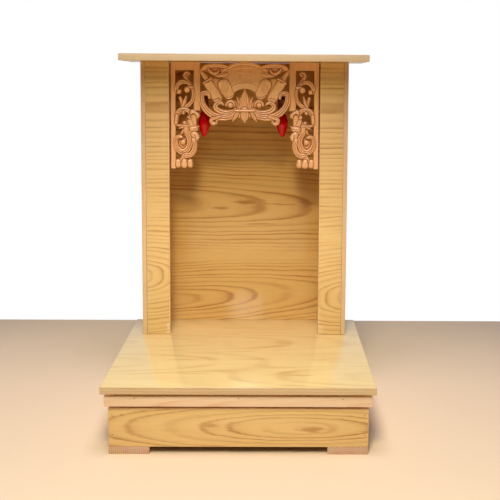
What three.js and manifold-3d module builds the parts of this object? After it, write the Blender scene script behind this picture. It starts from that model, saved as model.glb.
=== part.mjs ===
// A household altar cabinet: a stepped base carrying a niche with a flat roof, a pierced carved valance,
// two pierced carved brackets and a pair of small red lamps. Millimetres, X right, Y back, Z up.
// The origin is on the floor under the middle of the cabinet, and the open front faces -Y.
import * as THREE from 'three';
import { mergeVertices } from 'three/addons/utils/BufferGeometryUtils.js';
import Module from 'manifold-3d';

const wasm = await Module();
wasm.setup();

// ---- driving sizes -------------------------------------------------------------------------------

const GAP = 0.3; // clearance left between pieces that touch

// base, from the floor up
const TABLE_WIDTH = 480;
const TABLE_DEPTH = 400;
const TABLE_THICK = 12.5;
const TABLE_TOP = 125;
const RUNNER_WIDTH = 71.5;
const RUNNER_THICK = 13;
const PANEL_THICK = 12;
const PANEL_SETBACK = 11.9; // base panels stand this far inside the tabletop's edges
const FRONT_PANEL_HEIGHT = 70;
const STRIP_SETBACK = 6.1; // the pine strip stands this far inside the tabletop's edges
const STRIP_LOW = 88.5;
const STRIP_HEIGHT = 18;

// niche, standing on the back of the tabletop
const NICHE_HEIGHT = 567;
const NICHE_HALF = 211.3;
const NICHE_SETBACK = 294.2; // from the tabletop's front edge to the stiles' faces
const SIDE_THICK = 9;
const STILE_WIDTH = 48.1;
const STILE_THICK = 12;
const BACK_THICK = 4.7;

// roof
const ROOF_WIDTH = 496;
const ROOF_THICK = 14;
const ROOF_OVERHANG = 43; // in front of the stiles

// carving
const FRAME_THICK = 8; // the brackets' plain frame
const BRACKET_RECESS = 12.3; // from the stiles' faces to the brackets' frames
const BRACKET_OUTER = 151.3; // half the distance between the brackets' outer edges
const BRACKET_WIDTH = 60;
const BRACKET_DROP = 219.6;
const CARVING_TOP_GAP = 1; // under the roof
const GROUND = 5; // thickness of the valance's lowest carved ground
const BRACKET_GROUND = 4;
const SHOULDER = 0.35; // a ridge's edge stands at this share of its rise

// lamps: glass bulbs that hang point down behind the valance
const LAMPS = {
  left: { x: -85, lean: 1 },
  right: { x: 76.5, lean: -3 },
};
const LAMP_TIP = 536.5;
const LAMP_LENGTH = 54;
const LAMP_SETBACK = 330; // from the tabletop's front edge to the lamps' axis
const HOLDER_RADIUS = 9;
const HOLDER_LENGTH = 30;
const HOLDER_CLEAR = 0.8; // over the leaning glass
const HOLDER_ARM_REACH = 90; // where the arm meets the valance's outer scroll
const HOLDER_ARM_HEIGHT = 8;
const HOLDER_ARM_DROP = 6; // from the holder's top to the arm's
const HOLDER_ARM_BITE = 4; // how far past the holder's axis the arm runs
const ROUND_SIDES = 16; // of a glass bulb or its holder

// ---- places that follow from the sizes -----------------------------------------------------------

const FRONT = -(TABLE_DEPTH + BACK_THICK + GAP) / 2;
const TABLE_BACK = FRONT + TABLE_DEPTH;
const BACK = -FRONT;
const TABLE_UNDER = TABLE_TOP - TABLE_THICK;
const ROOF_UNDER = TABLE_TOP + NICHE_HEIGHT;
const NICHE_FRONT = FRONT + NICHE_SETBACK;
const PANEL_HALF = TABLE_WIDTH / 2 - PANEL_SETBACK;
const PANEL_FRONT = FRONT + PANEL_SETBACK;
const PANEL_BACK = PANEL_FRONT + PANEL_THICK;
const STRIP_HALF = TABLE_WIDTH / 2 - STRIP_SETBACK;
const BRACKET_BACK = NICHE_FRONT + BRACKET_RECESS + FRAME_THICK;
const VALANCE_BACK = NICHE_FRONT + BRACKET_RECESS - GAP;
const LAMP_Y = FRONT + LAMP_SETBACK;

// ---- finishes ------------------------------------------------------------------------------------

const finish = (color, roughness, metalness = 0) =>
  new THREE.MeshStandardMaterial({ color, roughness, metalness });

const FINISH = {
  board: finish(0xe6c184, 0.3),
  roof: finish(0xf2cb96, 0.35),
  back: finish(0xd8ac6c, 0.35),
  pine: finish(0xeac69a, 0.45),
  runner: finish(0xcba787, 0.7),
  carving: finish(0xeeb878, 0.4),
  lamp: finish(0xb4060f, 0.08),
  holder: finish(0x2a1c16, 0.45),
};

// ---- solids --------------------------------------------------------------------------------------

/** A closed three.js geometry as a solid that can be joined and cut. */
function toSolid(geometry) {
  const bare = geometry.clone();
  for (const name of Object.keys(bare.attributes)) if (name !== 'position') bare.deleteAttribute(name);
  const merged = mergeVertices(bare, 1e-4);
  return new wasm.Manifold(new wasm.Mesh({
    numProp: 3,
    vertProperties: Float32Array.from(merged.attributes.position.array),
    triVerts: Uint32Array.from(merged.index.array),
  }));
}

function toGeometry(solid) {
  const mesh = solid.getMesh();
  const geometry = new THREE.BufferGeometry();
  geometry.setAttribute('position', new THREE.BufferAttribute(mesh.vertProperties, mesh.numProp));
  geometry.setIndex(new THREE.BufferAttribute(mesh.triVerts, 1));
  geometry.computeVertexNormals();
  return geometry;
}

const joined = (geometries) => geometries.map(toSolid).reduce((whole, piece) => whole.add(piece));

/** A box between two corners. */
function block([x0, y0, z0], [x1, y1, z1]) {
  const box = new THREE.BoxGeometry(x1 - x0, y1 - y0, z1 - z0);
  return box.translate((x0 + x1) / 2, (y0 + y1) / 2, (z0 + z1) / 2);
}

// ---- carving -------------------------------------------------------------------------------------
// A carving is drawn flat: x across and d down from its top, with its height h towards the viewer.

const degrees = Math.PI / 180;
const ARC_STEP = 26; // degrees between an arc's points, at most
const ARC_SEGMENTS = 10; // of a round stretch in an outline

/** Points round an ellipse; angles run from +x towards +d. */
function arc(cx, cd, rx, rd, from, to) {
  const steps = Math.max(3, Math.round(Math.abs(to - from) / ARC_STEP));
  return Array.from({ length: steps + 1 }, (_, i) => {
    const angle = (from + ((to - from) * i) / steps) * degrees;
    return [cx + rx * Math.cos(angle), cd + rd * Math.sin(angle)];
  });
}

/** Points on a smooth curve through a few given ones. */
function bend(...points) {
  const curve = new THREE.SplineCurve(points.map(([x, d]) => new THREE.Vector2(x, d)));
  const steps = (points.length - 1) * 2;
  return curve.getPoints(steps).map((p) => [p.x, p.y]);
}

/** The value at share t of a list of evenly spaced values. */
function along(values, t) {
  const place = t * (values.length - 1);
  const i = Math.min(Math.floor(place), values.length - 2);
  return values[i] + (values[i + 1] - values[i]) * (place - i);
}

// A ridge that ends wider than BLUNT gets one more station past its end: how far on, how wide and how
// high that is, as shares of the end's half width and rise.
const BLUNT = 1.5;
const BLUNT_REACH = 0.75;
const BLUNT_HALF = 0.5;
const BLUNT_RISE = 0.6;

/** The stations of a ridge: its path's points with their direction, half width and rise. */
function stations(path, halves, rise) {
  const lengths = [0];
  for (let i = 1; i < path.length; i += 1) {
    lengths.push(lengths[i - 1] + Math.hypot(path[i][0] - path[i - 1][0], path[i][1] - path[i - 1][1]));
  }
  const total = lengths[lengths.length - 1];
  const list = path.map(([x, d], i) => {
    const a = path[Math.max(i - 1, 0)];
    const b = path[Math.min(i + 1, path.length - 1)];
    const run = Math.hypot(b[0] - a[0], b[1] - a[1]);
    const half = along(halves, lengths[i] / total);
    return { x, d, ux: (b[0] - a[0]) / run, ud: (b[1] - a[1]) / run, half, rise };
  });
  const end = (s, way) => {
    const reach = s.half * BLUNT_REACH * way;
    const x = s.x + s.ux * reach;
    const d = s.d + s.ud * reach;
    return { ...s, x, d, half: s.half * BLUNT_HALF, rise: rise * BLUNT_RISE };
  };
  const first = list[0];
  const last = list[list.length - 1];
  if (first.half > BLUNT) list.unshift(end(first, -1));
  if (last.half > BLUNT) list.push(end(last, 1));
  return list;
}

/** A ridge along a path: a flat back, two upright edges and a crest, as one closed shell. */
function ridge(ground, path, halves, rise) {
  const list = stations(path, halves, rise);
  const positions = [];
  for (const s of list) {
    const low = ground + s.rise * SHOULDER;
    const high = ground + s.rise;
    const section = [[s.half, 0], [s.half, low], [0, high], [-s.half, low], [-s.half, 0]];
    for (const [across, h] of section) positions.push(s.x - s.ud * across, s.d + s.ux * across, h);
  }
  const index = [];
  const sides = 5;
  for (let i = 0; i + 1 < list.length; i += 1) {
    for (let k = 0; k < sides; k += 1) {
      const a = i * sides + k;
      const b = i * sides + ((k + 1) % sides);
      index.push(a, b, b + sides, a, b + sides, a + sides);
    }
  }
  const last = (list.length - 1) * sides;
  for (let k = 1; k + 1 < sides; k += 1) {
    index.push(0, k + 1, k, last, last + k, last + k + 1);
  }
  return shell(positions, index);
}

const BOSS_SIDES = 10;
const BOSS_CROWN = { share: 0.62, rise: 0.86 }; // the last ring under a boss's top

/** A low round boss. */
function boss(ground, x, d, radius, rise) {
  const sides = BOSS_SIDES;
  const rings = [[1, 0], [1, ground + rise * SHOULDER], [BOSS_CROWN.share, ground + rise * BOSS_CROWN.rise]];
  const positions = [];
  for (const [share, h] of rings) {
    for (let k = 0; k < sides; k += 1) {
      const angle = ((k + 0.5) * 2 * Math.PI) / sides;
      positions.push(x + radius * share * Math.cos(angle), d + radius * share * Math.sin(angle), h);
    }
  }
  positions.push(x, d, ground + rise);
  const crown = rings.length * sides;
  const index = [];
  for (let k = 0; k < sides; k += 1) {
    const next = (k + 1) % sides;
    for (let ring = 0; ring + 1 < rings.length; ring += 1) {
      const a = ring * sides + k;
      const b = ring * sides + next;
      index.push(a, b, b + sides, a, b + sides, a + sides);
    }
    index.push(crown - sides + k, crown - sides + next, crown);
    if (k > 0 && k + 1 < sides) index.push(0, k + 1, k);
  }
  return shell(positions, index);
}

function shell(positions, index) {
  const geometry = new THREE.BufferGeometry();
  geometry.setAttribute('position', new THREE.Float32BufferAttribute(positions, 3));
  geometry.setIndex(index);
  return geometry;
}

/** A flat sheet with a rounded outline round a path, from the back to height h. */
function sheet(path, halves, h) {
  const list = stations(path, halves, 0);
  const edge = (way) => list.map((s) => {
    const across = s.half * way;
    return new THREE.Vector2(s.x - s.ud * across, s.d + s.ux * across);
  });
  return slab(new THREE.Shape([...edge(-1), ...edge(1).reverse()]), 0, h);
}

/** A flat outline through a few points. */
const outline = (points) => new THREE.Shape(points.map(([x, d]) => new THREE.Vector2(x, d)));

/** A flat outline raised from height low to height high. */
function slab(shape, low, high) {
  const options = { depth: high - low, bevelEnabled: false, curveSegments: ARC_SEGMENTS };
  return new THREE.ExtrudeGeometry(shape, options).translate(0, 0, low);
}

/** A geometry moved by a matrix, with its faces kept outwards where the matrix mirrors. */
function moved(geometry, matrix) {
  const copy = geometry.index ? geometry.clone() : mergeVertices(geometry);
  copy.applyMatrix4(matrix);
  if (matrix.determinant() < 0) {
    const index = copy.index.array;
    for (let i = 0; i < index.length; i += 3) [index[i], index[i + 1]] = [index[i + 1], index[i]];
  }
  return copy;
}

/** Stands a flat carving up with its face to the front; side is 1, or -1 for its mirror image. */
const upright = (side, x, back, top) => new THREE.Matrix4().set(
  side, 0, 0, x,
  0, 0, -1, back,
  0, -1, 0, top,
  0, 0, 0, 1,
);

// ---- the valance ---------------------------------------------------------------------------------

const CROWN_RADIUS = 76; // the banner's arched top
const CROWN_HALF = 47;
const ARCH = { d: 87, inner: 32.2, outer: 43.5, half: 24 }; // the arched opening over the palmette
const BANNER_RISE = 1.5;
const ARCH_RISE = 2.6;
const STROKE = { half: 3, thick: 1.2, rise: 2.4 }; // one plain stroke on the banner
const SLOT_RISE = 12; // higher than anything it cuts

/** A band that follows the arched opening, between two radii. */
function archBand(inner, outer, low, high) {
  const shape = new THREE.Shape();
  const spread = (radius) => Math.asin(ARCH.half / radius);
  shape.absarc(0, ARCH.d, outer, -Math.PI / 2 - spread(outer), -Math.PI / 2 + spread(outer), false);
  shape.absarc(0, ARCH.d, inner, -Math.PI / 2 + spread(inner), -Math.PI / 2 - spread(inner), true);
  return slab(shape, low, high);
}

/** The banner: an arched plate between the two rolls, open below in an arch. */
function banner() {
  const shape = new THREE.Shape();
  const turn = Math.asin(CROWN_HALF / CROWN_RADIUS);
  const crown = CARVING_TOP_GAP + CROWN_RADIUS;
  const foot = ARCH.d - Math.sqrt(ARCH.inner ** 2 - ARCH.half ** 2);
  shape.absarc(0, crown, CROWN_RADIUS, -Math.PI / 2 - turn, -Math.PI / 2 + turn, false);
  shape.lineTo(CROWN_HALF, foot);
  shape.lineTo(ARCH.half, foot);
  const spread = Math.asin(ARCH.half / ARCH.inner);
  shape.absarc(0, ARCH.d, ARCH.inner, -Math.PI / 2 + spread, -Math.PI / 2 - spread, true);
  shape.lineTo(-CROWN_HALF, foot);
  return slab(shape, 0, GROUND + BANNER_RISE);
}

/** Three short rows of shallow plain strokes in the middle of the banner. */
function bannerStrokes() {
  const rows = [[13, [-8, 8]], [22, [-9, 0, 9]], [31, [-8, 8]]];
  const { half, thick, rise } = STROKE;
  const stroke = (x, d) => outline([
    [x - half, d - thick], [x + half, d - thick], [x + half, d + thick], [x - half, d + thick],
  ]);
  return rows.flatMap(([d, places]) => places.map((x) => slab(stroke(x, d), GROUND, GROUND + rise)));
}

/** One half of the valance, x outwards from its middle. */
function valanceHalf() {
  const line = (path, halves, rise) => ridge(GROUND, path, halves, rise);
  const ground = [
    sheet([[82, 17], [66, 15], [44, 17]], [8.5, 10.5, 12], GROUND),
    sheet([[70, 42], [52, 46], [50, 60]], [8, 10, 9], GROUND),
    sheet([[42.5, 47], [33, 65.5]], [11.5, 10.5], GROUND + 4),
    sheet([[0.5, 98], [0.5, 82]], [16, 13], GROUND),
  ];
  const ribbon = [
    line(bend([88, 19.5], [81, 12], [68, 8], [56, 7.5], [44, 9], [33, 11]),
      [2.6, 4, 3.6, 3.6, 3.2, 1.2], 4.5),
    line(bend([75, 13], [70, 20], [62.5, 24.5], [55, 22], [52, 16]), [1.4, 2.6, 3, 2.6, 1.4], 4),
    line(bend([38, 27], [47, 27], [60, 29]), [3, 4, 1.2], 4),
  ];
  const tube = [
    line([[75.5, 42], [56, 75]], [9, 9.6], 6.2),
    line([[86, 23], [76.5, 37]], [3.8, 4.8], 4.5),
    line([[83, 44], [76, 38.5], [66, 33]], [1.6, 2.4, 1.6], 5.5),
  ];
  const scrolls = [
    line([...arc(51, 92, 8.6, 8.6, -145, 20), ...arc(38, 91.5, 21, 12, 32, 155)],
      [1.6, 3, 4.2, 4.2, 4, 3.6, 2.4], 4.5),
    line([...arc(44, 72, 44.5, 42, 127, 8), ...arc(80, 72, 8.5, 8.5, 0, -190)],
      [4.4, 5.6, 5.8, 5.8, 5.6, 5, 4.4, 2.6], 6),
    line([...arc(28.5, 89, 7.4, 7.4, -180, 0), [17.5, 100]], [1.5, 2.2, 2.6, 2.6], 4.5),
    boss(GROUND, 29.2, 88.6, 6, 6),
    line([[50, 112], ...arc(62.5, 120.8, 5.8, 5.8, -95, 185)], [3, 3.8, 3.8, 3.4, 1.2], 4.6),
  ];
  const leaves = [
    line(bend([14.5, 99], [13, 85], [17, 72]), [2.2, 3.4, 0.8], 5),
    line(bend([9.5, 99], [9.5, 86], [11.5, 77]), [2.2, 2.8, 0.8], 5),
    line(bend([5.6, 99], [7, 80], [6.6, 70]), [2.2, 2.6, 0.8], 5),
    line(bend([12.5, 100], [18.5, 111], [24.8, 121.5]), [2.6, 4.4, 0.6], 4.5),
  ];
  return [...ground, ...ribbon, ...tube, ...scrolls, ...leaves];
}

/** What stands on the valance's middle line. */
function valanceMiddle() {
  return [
    banner(),
    archBand(ARCH.inner, ARCH.outer, GROUND, GROUND + ARCH_RISE),
    ...bannerStrokes(),
    ridge(GROUND, bend([0, 99], [0, 78], [0, 70], [0, 63], [0, 56.5]), [6, 8.4, 8.8, 4, 0.5], 3.6),
    ridge(GROUND, [[0, 100], [0, 106], [0, 113], [0, 124]], [8.8, 9, 7.4, 0.6], 5),
    ridge(GROUND, [[-19, 99.2], [19, 99.2]], [2.3, 2.3], 6.8),
  ];
}

/** The slanting slot between the ribbon and the tube. */
const valanceSlot = () =>
  ridge(GROUND, bend([85.5, 18.5], [73, 26], [63, 32], [46, 35]), [1.4, 3.6, 2.6, 2], SLOT_RISE)
    .translate(0, 0, -GAP);

function valance() {
  const place = (geometry, side) => moved(geometry, upright(side, 0, VALANCE_BACK, ROOF_UNDER));
  const both = (geometries) => [1, -1].flatMap((side) => geometries.map((g) => place(g, side)));
  const body = joined([...valanceMiddle().map((g) => place(g, 1)), ...both(valanceHalf())]);
  return toGeometry(body.subtract(joined(both([valanceSlot()]))));
}

// ---- the brackets --------------------------------------------------------------------------------

const BRACKET_STILE = 9;
const BRACKET_RAIL = 17.8;
const BRACKET_INNER_STILE = 13;
const BRACKET_INNER_DROP = 99.6;
const BRACKET_FOOT = { low: 206, tip: 213, rise: 6, lobes: [[14.5, 6], [26.6, 6.8], [38.4, 6]] };
const BALL_RISE = 6.3;

/** The plain frame: a long outer stile, a top rail and a short inner stile, x inwards. */
function bracketFrame() {
  const inner = BRACKET_WIDTH - BRACKET_INNER_STILE;
  const shape = outline([
    [0, CARVING_TOP_GAP], [BRACKET_WIDTH, CARVING_TOP_GAP], [BRACKET_WIDTH, BRACKET_INNER_DROP],
    [inner, BRACKET_INNER_DROP], [inner, BRACKET_RAIL], [BRACKET_STILE, BRACKET_RAIL],
    [BRACKET_STILE, BRACKET_DROP], [0, BRACKET_DROP],
  ]);
  return slab(shape, 0, FRAME_THICK);
}

/** The carving of one bracket, x inwards from its outer edge. */
function bracketCarving() {
  const line = (path, halves, rise) => ridge(BRACKET_GROUND, path, halves, rise);
  const ball = (x, d, radius) => boss(BRACKET_GROUND, x, d, radius, BALL_RISE);
  const vine = [
    line([...arc(33, 28, 4.6, 4.4, -40, -190), ...arc(22, 66, 24.5, 28, -50, 55), [24, 95.5], [10, 110]],
      [2, 2.6, 2.4, 2.6, 3, 3.2, 3.4, 3.4], 6),
    line(arc(26, 56, 15, 15, -35, -205), [2, 3.4, 4, 3.6, 3], 6),
    ball(16, 61, 4.8),
    line([[44, 53], [36, 52]], [2.4, 2.4], 5),
    ball(33, 57, 5.8),
    line(bend([20, 75.5], [22, 83], [23.5, 93]), [3, 2.2, 3], 5),
    line(bend([30, 71.5], [28, 80], [24, 90]), [1.2, 3.2, 3], 5),
  ];
  const leaves = [
    line(arc(26, 110, 14, 12.5, 25, -180), [2.4, 3.4, 3.6, 3.4, 3], 6),
    ball(25, 103.5, 3.8),
    line([[12, 110], [10, 124]], [3, 3], 5),
    line([[36, 113], ...arc(22, 118, 17, 14, -10, 110), [11, 128]], [2.6, 3.6, 4, 3.2, 0.8], 6),
    ball(27, 125, 3.4),
    line([[44, 104], [52, 110]], [5.6, 5.6], 5.5),
    line([[46, 112], [46, 134]], [4.6, 4.6], 2),
    line(bend([38, 122], [42, 135], [36, 146]), [4, 4.6, 4], 4),
    line([[55, 133.5], [51, 137.5], [44, 137.5]], [1.4, 4.6, 5.6], 6),
    line([[47, 149], [50.5, 155], [46, 162]], [6.5, 7.2, 5], 6),
    line(bend([31, 133], [24, 134], [16.5, 138]), [4, 3.2, 0.8], 5),
    line(bend([32, 138], [26, 141], [20.5, 147]), [4, 3, 0.8], 5),
  ];
  const scroll = [
    sheet([[26, 170], [24, 178]], [12, 12], BRACKET_GROUND),
    sheet([[41, 168], [36, 184], [26, 192]], [5, 6, 5], BRACKET_GROUND),
    line([[30, 136], ...arc(23.5, 165, 14.6, 20.5, -55, 180), ...arc(17, 163, 8.4, 9.6, 200, 300)],
      [3.6, 4.4, 4.8, 5, 5, 4.8, 4.4, 3.6, 2.4], 6.5),
    ball(24.3, 165, 4.6),
    line([[46, 160], ...arc(33, 172, 15.5, 21, -10, 110), [20, 205]], [4, 4.4, 4.8, 4.6, 4], 5.5),
  ];
  const { low, tip, rise, lobes } = BRACKET_FOOT;
  const foot = lobes.map(([x, half]) => line([[x, low], [x, tip]], [half, half], rise));
  return [...vine, ...leaves, ...scroll, ...foot];
}

function bracket(side) {
  const matrix = upright(-side, side * BRACKET_OUTER, BRACKET_BACK, ROOF_UNDER);
  return toGeometry(joined([bracketFrame(), ...bracketCarving()].map((g) => moved(g, matrix))));
}

// ---- the lamps -----------------------------------------------------------------------------------

/** A pointed bulb, turned about its own upright axis with its tip at the origin. */
function lampGlass() {
  const profile = [
    [0, 0], [3.2, 1.2], [6.4, 7], [9.6, 15], [12, 23], [12.9, 30], [12.2, 37], [10, 44], [7.4, 50],
    [6.6, LAMP_LENGTH], [0, LAMP_LENGTH],
  ];
  const points = profile.map(([r, z]) => new THREE.Vector2(r, z));
  return new THREE.LatheGeometry(points, ROUND_SIDES).rotateX(Math.PI / 2);
}

/** A plain socket with an arm to the back of the valance. */
function lampHolder(lamp) {
  const bottom = LAMP_TIP + LAMP_LENGTH + HOLDER_CLEAR;
  const top = bottom + HOLDER_LENGTH;
  const socket = new THREE.CylinderGeometry(HOLDER_RADIUS, HOLDER_RADIUS, HOLDER_LENGTH, ROUND_SIDES)
    .rotateX(Math.PI / 2).translate(lamp.x, LAMP_Y, (bottom + top) / 2);
  const side = Math.sign(lamp.x);
  const [inner, outer] = [side * HOLDER_ARM_REACH, lamp.x - side * HOLDER_ARM_BITE].sort((a, b) => a - b);
  const armTop = top - HOLDER_ARM_DROP;
  const arm = block([inner, VALANCE_BACK + GAP, armTop - HOLDER_ARM_HEIGHT], [outer, LAMP_Y, armTop]);
  return toGeometry(joined([socket, arm]));
}

// ---- the cabinet ---------------------------------------------------------------------------------

const cabinet = new THREE.Group();

function add(name, geometry, material) {
  const mesh = new THREE.Mesh(geometry, material);
  mesh.name = name;
  cabinet.add(mesh);
  return mesh;
}

/** A box in place, mirrored across x = 0 for the left side. */
function addPair(name, low, high, material) {
  add(`${name}_right`, block(low, high), material);
  add(`${name}_left`, block([-high[0], low[1], low[2]], [-low[0], high[1], high[2]]), material);
}

function buildBase() {
  const low = RUNNER_THICK + GAP;
  addPair('runner',
    [PANEL_HALF - RUNNER_WIDTH, PANEL_FRONT, 0],
    [PANEL_HALF, TABLE_BACK, RUNNER_THICK], FINISH.runner);
  add('base_front_panel', block(
    [-PANEL_HALF, PANEL_FRONT, low],
    [PANEL_HALF, PANEL_BACK, low + FRONT_PANEL_HEIGHT],
  ), FINISH.board);
  addPair('base_side_panel',
    [PANEL_HALF - PANEL_THICK, PANEL_BACK + GAP, low],
    [PANEL_HALF, TABLE_BACK - PANEL_THICK - GAP, TABLE_UNDER - GAP], FINISH.board);
  add('base_back_panel', block(
    [-PANEL_HALF, TABLE_BACK - PANEL_THICK, low],
    [PANEL_HALF, TABLE_BACK, TABLE_UNDER - GAP],
  ), FINISH.board);
  add('front_strip', block(
    [-STRIP_HALF, FRONT + STRIP_SETBACK, STRIP_LOW],
    [STRIP_HALF, PANEL_BACK, STRIP_LOW + STRIP_HEIGHT],
  ), FINISH.pine);
  addPair('side_strip',
    [PANEL_HALF + GAP, PANEL_BACK + GAP, STRIP_LOW],
    [STRIP_HALF, TABLE_BACK, STRIP_LOW + STRIP_HEIGHT], FINISH.pine);
  add('tabletop', block(
    [-TABLE_WIDTH / 2, FRONT, TABLE_UNDER],
    [TABLE_WIDTH / 2, TABLE_BACK, TABLE_TOP],
  ), FINISH.board);
}

function buildNiche() {
  const low = TABLE_TOP + GAP;
  const high = ROOF_UNDER - GAP;
  const sideInner = NICHE_HALF - SIDE_THICK;
  addPair('side_panel', [sideInner, NICHE_FRONT, low], [NICHE_HALF, TABLE_BACK, high], FINISH.board);
  addPair('front_stile',
    [sideInner - GAP - STILE_WIDTH, NICHE_FRONT, low],
    [sideInner - GAP, NICHE_FRONT + STILE_THICK, high], FINISH.board);
  add('back_panel', block(
    [-NICHE_HALF, TABLE_BACK + GAP, TABLE_UNDER],
    [NICHE_HALF, BACK, high],
  ), FINISH.back);
  add('top_board', block(
    [-ROOF_WIDTH / 2, NICHE_FRONT - ROOF_OVERHANG, ROOF_UNDER],
    [ROOF_WIDTH / 2, BACK, ROOF_UNDER + ROOF_THICK],
  ), FINISH.roof);
}

function buildCarving() {
  add('carved_valance', valance(), FINISH.carving);
  add('carved_bracket_left', bracket(-1), FINISH.carving);
  add('carved_bracket_right', bracket(1), FINISH.carving);
}

function buildLamps() {
  for (const [side, lamp] of Object.entries(LAMPS)) {
    const glass = add(`lamp_${side}`, lampGlass(), FINISH.lamp);
    const top = LAMP_TIP + LAMP_LENGTH;
    const tilt = new THREE.Group();
    tilt.position.set(lamp.x, LAMP_Y, top);
    tilt.rotation.y = -lamp.lean * degrees;
    glass.position.z = -LAMP_LENGTH;
    tilt.add(glass);
    cabinet.add(tilt);
    add(`lamp_holder_${side}`, lampHolder(lamp), FINISH.holder);
  }
}

buildBase();
buildNiche();
buildCarving();
buildLamps();

export default cabinet;
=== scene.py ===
"""Dresses the household altar cabinet: lacquered veneered boards with banded edges, pine strips, sawn
runners, finely carved valance and brackets, red glass lamps in plain sockets, and a plain pale studio."""

from math import cos, pi, radians, sin

import bmesh
import bpy
import numpy as np
from bpy.props import FloatProperty, FloatVectorProperty, PointerProperty
from mathutils import Matrix, Vector


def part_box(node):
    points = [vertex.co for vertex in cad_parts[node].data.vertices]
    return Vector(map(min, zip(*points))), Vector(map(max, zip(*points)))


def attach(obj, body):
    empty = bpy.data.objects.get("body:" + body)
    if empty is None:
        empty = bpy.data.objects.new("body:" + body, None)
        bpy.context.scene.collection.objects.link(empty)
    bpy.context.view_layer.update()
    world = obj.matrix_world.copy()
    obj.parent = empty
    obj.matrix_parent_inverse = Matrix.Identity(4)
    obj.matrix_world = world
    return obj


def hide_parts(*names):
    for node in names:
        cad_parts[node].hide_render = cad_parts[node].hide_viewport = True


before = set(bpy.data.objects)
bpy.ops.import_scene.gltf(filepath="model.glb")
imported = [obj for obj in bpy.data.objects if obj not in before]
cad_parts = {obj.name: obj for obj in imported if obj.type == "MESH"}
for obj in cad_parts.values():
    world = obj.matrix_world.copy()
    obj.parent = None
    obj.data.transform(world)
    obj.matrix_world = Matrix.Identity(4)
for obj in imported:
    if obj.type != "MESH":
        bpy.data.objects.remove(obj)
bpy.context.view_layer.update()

bl_info = {
    "name": "Household altar cabinet",
    "version": (1, 0, 0),
    "blender": (4, 5, 0),
    "location": "View3D > Sidebar > Altar",
    "description": "Makes the boards, carving, lamps and studio of a household altar cabinet",
    "category": "Add Mesh",
}

BODY = "root"
MM = 0.001
SIDES = (("left", -1), ("right", 1))

# ---- places read from the frame ------------------------------------------------------------------

ROOF_LOW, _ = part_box("top_board")
_, VALANCE_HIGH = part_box("carved_valance")
_, BRACKET_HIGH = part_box("carved_bracket_right")
PANEL_LOW, PANEL_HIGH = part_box("base_front_panel")
STRIP_LOW, STRIP_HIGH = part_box("front_strip")


def paint(code):
    """An sRGB hex colour as linear numbers, opaque."""
    parts = [int(code[i:i + 2], 16) / 255 for i in (1, 3, 5)]
    return (*(c / 12.92 if c <= 0.04045 else ((c + 0.055) / 1.055) ** 2.4 for c in parts), 1.0)


# ---- properties ----------------------------------------------------------------------------------

LENGTH = {"subtype": "DISTANCE", "unit": "LENGTH"}
COLOUR = {"size": 4, "min": 0, "max": 1, "subtype": "COLOR"}


class AltarSizes(bpy.types.PropertyGroup):
    """Sizes a user would change."""

    arris: FloatProperty(name="Arris", description="Rounding of a board's edges", default=0.0007, **LENGTH)
    valance_step: FloatProperty(
        name="Valance step", description="Spacing of the valance's surface points", default=0.0006, **LENGTH)
    bracket_step: FloatProperty(
        name="Bracket step", description="Spacing of a bracket's surface points", default=0.0005, **LENGTH)
    brad: FloatProperty(name="Brad", description="Radius of a brad's head", default=0.0009, **LENGTH)


class AltarColours(bpy.types.PropertyGroup):
    """Colours a user would change."""

    board: FloatVectorProperty(
        name="Board", description="Pale wood between the veneer's rings", default=paint("#f5d18d"), **COLOUR)
    figure: FloatVectorProperty(
        name="Figure", description="Dark wood of the veneer's rings", default=paint("#bd8545"), **COLOUR)
    band: FloatVectorProperty(
        name="Edge band", description="Thin pale band on boards' edges", default=paint("#ecc896"), **COLOUR)
    pine: FloatVectorProperty(
        name="Pine", description="Solid strip round the base", default=paint("#f3d3b1"), **COLOUR)
    runner: FloatVectorProperty(
        name="Runner", description="Sawn wood of the runners", default=paint("#d8b18e"), **COLOUR)
    carving: FloatVectorProperty(
        name="Carving", description="Carved wood", default=paint("#ffca8e"), **COLOUR)
    lamp: FloatVectorProperty(name="Lamp", description="Red glass", default=paint("#e6000a"), **COLOUR)
    holder: FloatVectorProperty(
        name="Lamp holder", description="Moulded sockets", default=paint("#7c3f2a"), **COLOUR)
    floor: FloatVectorProperty(name="Floor", description="Studio floor", default=paint("#f1d6b0"), **COLOUR)


# ---- nodes ---------------------------------------------------------------------------------------

MATH, VECTOR, MAP, MIX = "ShaderNodeMath", "ShaderNodeVectorMath", "ShaderNodeMapRange", "ShaderNodeMix"
PLACE, JOIN, SPLIT = "ShaderNodeMapping", "ShaderNodeCombineXYZ", "ShaderNodeSeparateXYZ"
NOISE, GROUP, SPOT = "ShaderNodeTexNoise", "ShaderNodeGroup", "ShaderNodeTexCoord"
SHADER, SURFACE = "ShaderNodeBsdfPrincipled", "ShaderNodeOutputMaterial"
ONE, OTHER = 6, 7  # a Mix node's two colours


def add(tree, kind, inputs=None, **settings):
    """Adds a node. settings are its properties. inputs, by socket name or number, are values, sockets, or
    nodes, which give their first output in use."""
    node = tree.nodes.new(kind)
    for name, value in settings.items():
        setattr(node, name, value)
    for name, value in (inputs or {}).items():
        if isinstance(value, bpy.types.Node):
            value = next(socket for socket in value.outputs if socket.enabled)
        if isinstance(value, bpy.types.NodeSocket):
            tree.links.new(value, node.inputs[name])
        else:
            node.inputs[name].default_value = value
    return node


def group(name, takes, gives, kind="ShaderNodeTree"):
    """A node group, and what it is given. Sockets are (name, type, default) in, and (name, type) out."""
    tree = bpy.data.node_groups.new(name, kind)
    for label, form, *default in takes:
        socket = tree.interface.new_socket(label, in_out="INPUT", socket_type="NodeSocket" + form)
        if default:
            socket.default_value = default[0]
    for label, form in gives:
        tree.interface.new_socket(label, in_out="OUTPUT", socket_type="NodeSocket" + form)
    return tree, add(tree, "NodeGroupInput").outputs


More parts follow.
